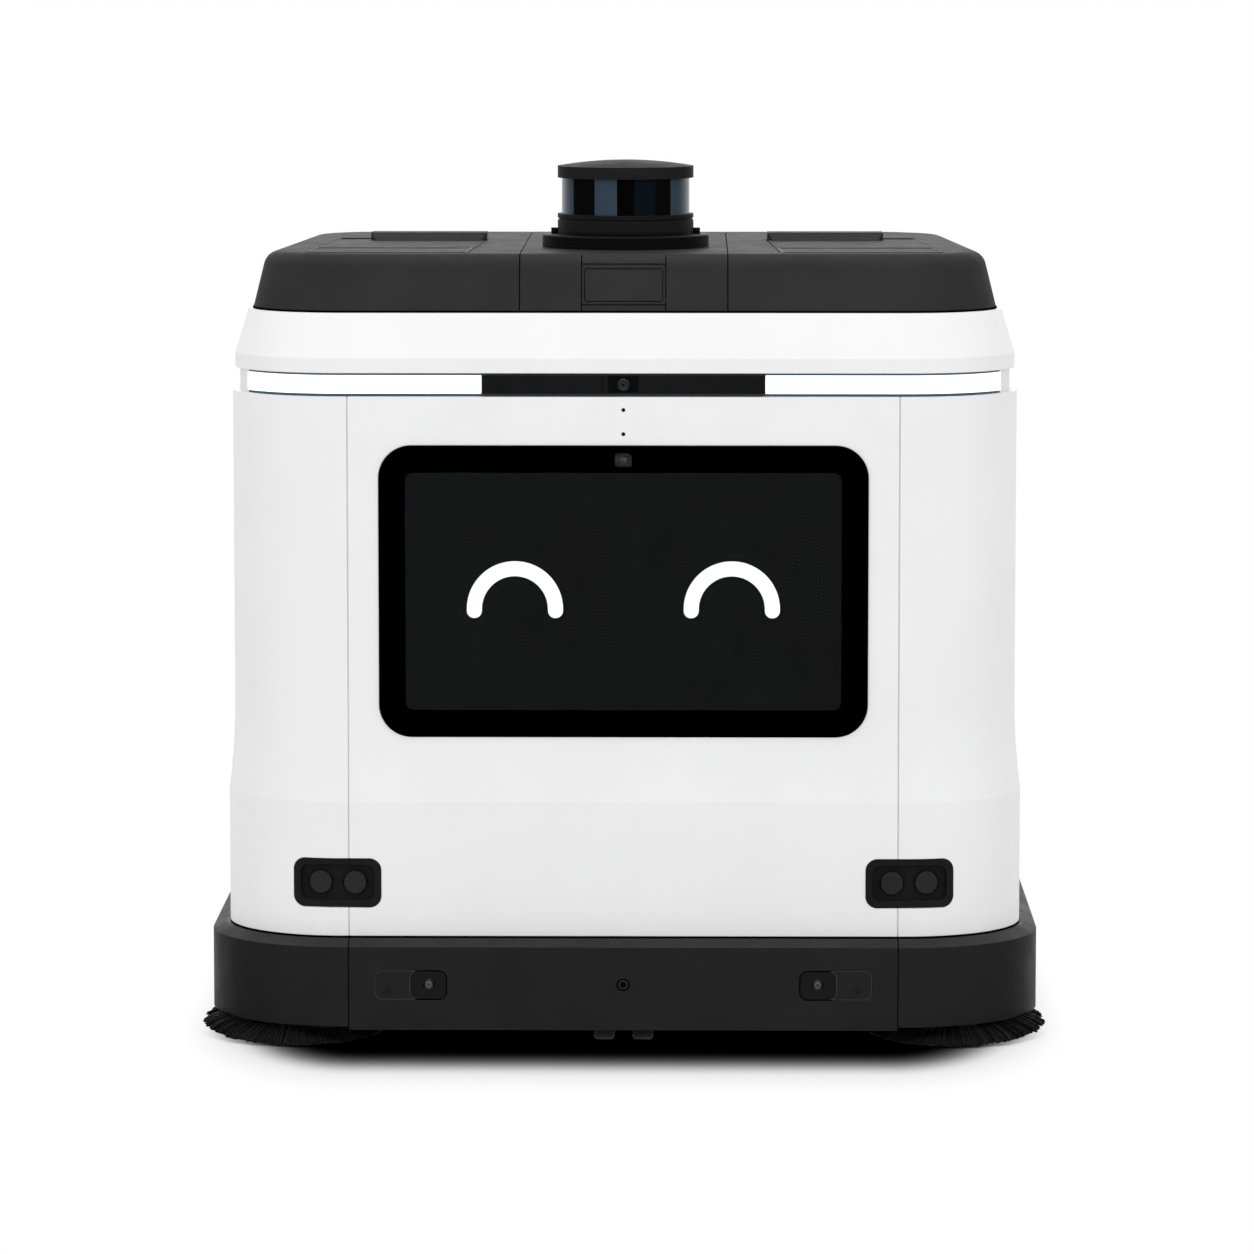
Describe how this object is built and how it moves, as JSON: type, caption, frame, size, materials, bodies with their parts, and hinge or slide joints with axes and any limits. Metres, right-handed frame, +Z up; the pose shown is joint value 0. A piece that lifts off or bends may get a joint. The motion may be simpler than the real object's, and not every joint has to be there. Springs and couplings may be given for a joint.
{
  "type": "floor cleaning robot",
  "caption": "Free-standing floor cleaning robot with side brushes, a main roller, drive wheels, a front display, hinged tank lids and a laser scanner on top.",
  "frame": {"origin": "on the floor, under the middle of the robot's box", "axes": "+Z up, +Y towards the back, +X to the right of someone who faces the display"},
  "size_m": [0.66, 0.49, 0.6772],
  "materials": {
    "white_shell": "satin",
    "skirt_black": "satin",
    "cover_black": "fine texture",
    "trim_black": "gloss",
    "lens_black": "polished",
    "screen": "satin",
    "cover_glass": "polished",
    "light": "diffusing",
    "scanner_black": "satin",
    "scanner_glass": "polished",
    "bristle": "bristle",
    "hub": "satin",
    "tyre": "matte",
    "rubber": "matte",
    "rim": "satin",
    "steel": "powder coat",
    "frame_metal": "satin",
    "motor": "satin",
    "tank": "satin",
    "battery": "satin",
    "contact": "polished",
    "stop_red": "gloss",
    "button_grey": "satin"
  },
  "bodies": {
    "base": {"chassis_plate": "steel", "skirt_front": "skirt_black", "skirt_left": "skirt_black", "skirt_right": "skirt_black", "skirt_windows": "trim_black", "front_panel": "white_shell", "rear_panel": "white_shell", "side_panel_left": "white_shell", "side_panel_right": "white_shell", "sensor_pod_left": "trim_black", "sensor_pod_right": "trim_black", "sensor_lenses": "lens_black", "display_housing": "trim_black", "display_panel": "screen", "display_glass": "cover_glass", "light_band": "trim_black", "light_bar_left": "light", "light_bar_right": "light", "strip_cover": "trim_black", "shoulder_cover": "white_shell", "top_cover_left": "cover_black", "top_cover_centre": "cover_black", "top_cover_right": "cover_black", "scanner_base": "scanner_black", "scanner_window": "scanner_glass", "scanner_cap": "scanner_black", "brush_motor_left": "motor", "brush_motor_right": "motor", "roller_housing": "hub", "drive_motor_left": "motor", "drive_motor_right": "motor", "tank_frame": "frame_metal", "clean_tank": "tank", "waste_tank": "tank", "battery_pack": "battery", "suction_fan": "motor", "water_pump": "motor", "control_unit": "battery", "charge_block": "skirt_black", "charge_contacts": "contact"},
    "side_brush_left": {"brush_hub_left": "hub", "brush_bristles_left": "bristle"},
    "side_brush_right": {"brush_hub_right": "hub", "brush_bristles_right": "bristle"},
    "roller": {"roller_core": "frame_metal", "roller_bristles": "bristle"},
    "drive_wheel_left": {"wheel_left": "rim", "tyre_left": "tyre"},
    "drive_wheel_right": {"wheel_right": "rim", "tyre_right": "tyre"},
    "caster": {"caster_fork": "steel"},
    "caster_rollers": {"caster_wheel": "tyre"},
    "squeegee": {"squeegee_holder": "frame_metal", "squeegee_blades": "rubber"},
    "tank_lid_left": {"lid_left": "cover_black"},
    "tank_lid_right": {"lid_right": "cover_black"},
    "flap": {"service_flap": "cover_black"},
    "scanner_head": {"scanner_rotor": "scanner_black"},
    "stop_button": {"emergency_stop": "stop_red"},
    "start_button": {"power_button": "button_grey"}
  },
  "joints": [
    {"name": "left_brush_spin", "type": "hinge", "parent": "base", "child": "side_brush_left", "pos_m": [-0.254, -0.16919, 0.00874], "axis": [0, -0.1045, 0.9945], "continuous": true},
    {"name": "right_brush_spin", "type": "hinge", "parent": "base", "child": "side_brush_right", "pos_m": [0.254, -0.16919, 0.00874], "axis": [0, -0.1045, 0.9945], "continuous": true},
    {"name": "roller_spin", "type": "hinge", "parent": "base", "child": "roller", "pos_m": [0, -0.056, 0.041], "axis": [1, 0, 0], "continuous": true},
    {"name": "left_wheel_spin", "type": "hinge", "parent": "base", "child": "drive_wheel_left", "pos_m": [-0.255, 0.062, 0.08], "axis": [1, 0, 0], "continuous": true},
    {"name": "right_wheel_spin", "type": "hinge", "parent": "base", "child": "drive_wheel_right", "pos_m": [0.255, 0.062, 0.08], "axis": [1, 0, 0], "continuous": true},
    {"name": "caster_swivel", "type": "hinge", "parent": "base", "child": "caster", "pos_m": [0, -0.1725, 0.06], "axis": [0, 0, 1], "continuous": true},
    {"name": "caster_roll", "type": "hinge", "parent": "caster", "child": "caster_rollers", "pos_m": [0, -0.2025, 0.0225], "axis": [1, 0, 0], "continuous": true},
    {"name": "squeegee_lift", "type": "hinge", "parent": "base", "child": "squeegee", "pos_m": [0, 0.116, 0.038], "axis": [1, 0, 0], "range_deg": [0, 14]},
    {"name": "left_lid_hinge", "type": "hinge", "parent": "base", "child": "tank_lid_left", "pos_m": [-0.184, -0.154, 0.6051], "axis": [1, 0, 0], "range_deg": [0, 95]},
    {"name": "right_lid_hinge", "type": "hinge", "parent": "base", "child": "tank_lid_right", "pos_m": [0.184, -0.154, 0.6051], "axis": [1, 0, 0], "range_deg": [0, 95]},
    {"name": "service_flap_hinge", "type": "hinge", "parent": "base", "child": "flap", "pos_m": [0, -0.1967, 0.57355], "axis": [1, 0, 0], "range_deg": [0, 95]},
    {"name": "scanner_spin", "type": "hinge", "parent": "base", "child": "scanner_head", "pos_m": [0, -0.065, 0.65], "axis": [0, 0, 1], "continuous": true},
    {"name": "stop_press", "type": "slide", "parent": "base", "child": "stop_button", "axis": [0, -1, 0], "range_m": [0, 0.004], "stiffness_N_per_m": 3000},
    {"name": "power_press", "type": "slide", "parent": "base", "child": "start_button", "axis": [0, -1, 0], "range_m": [0, 0.0015], "stiffness_N_per_m": 2000}
  ]
}
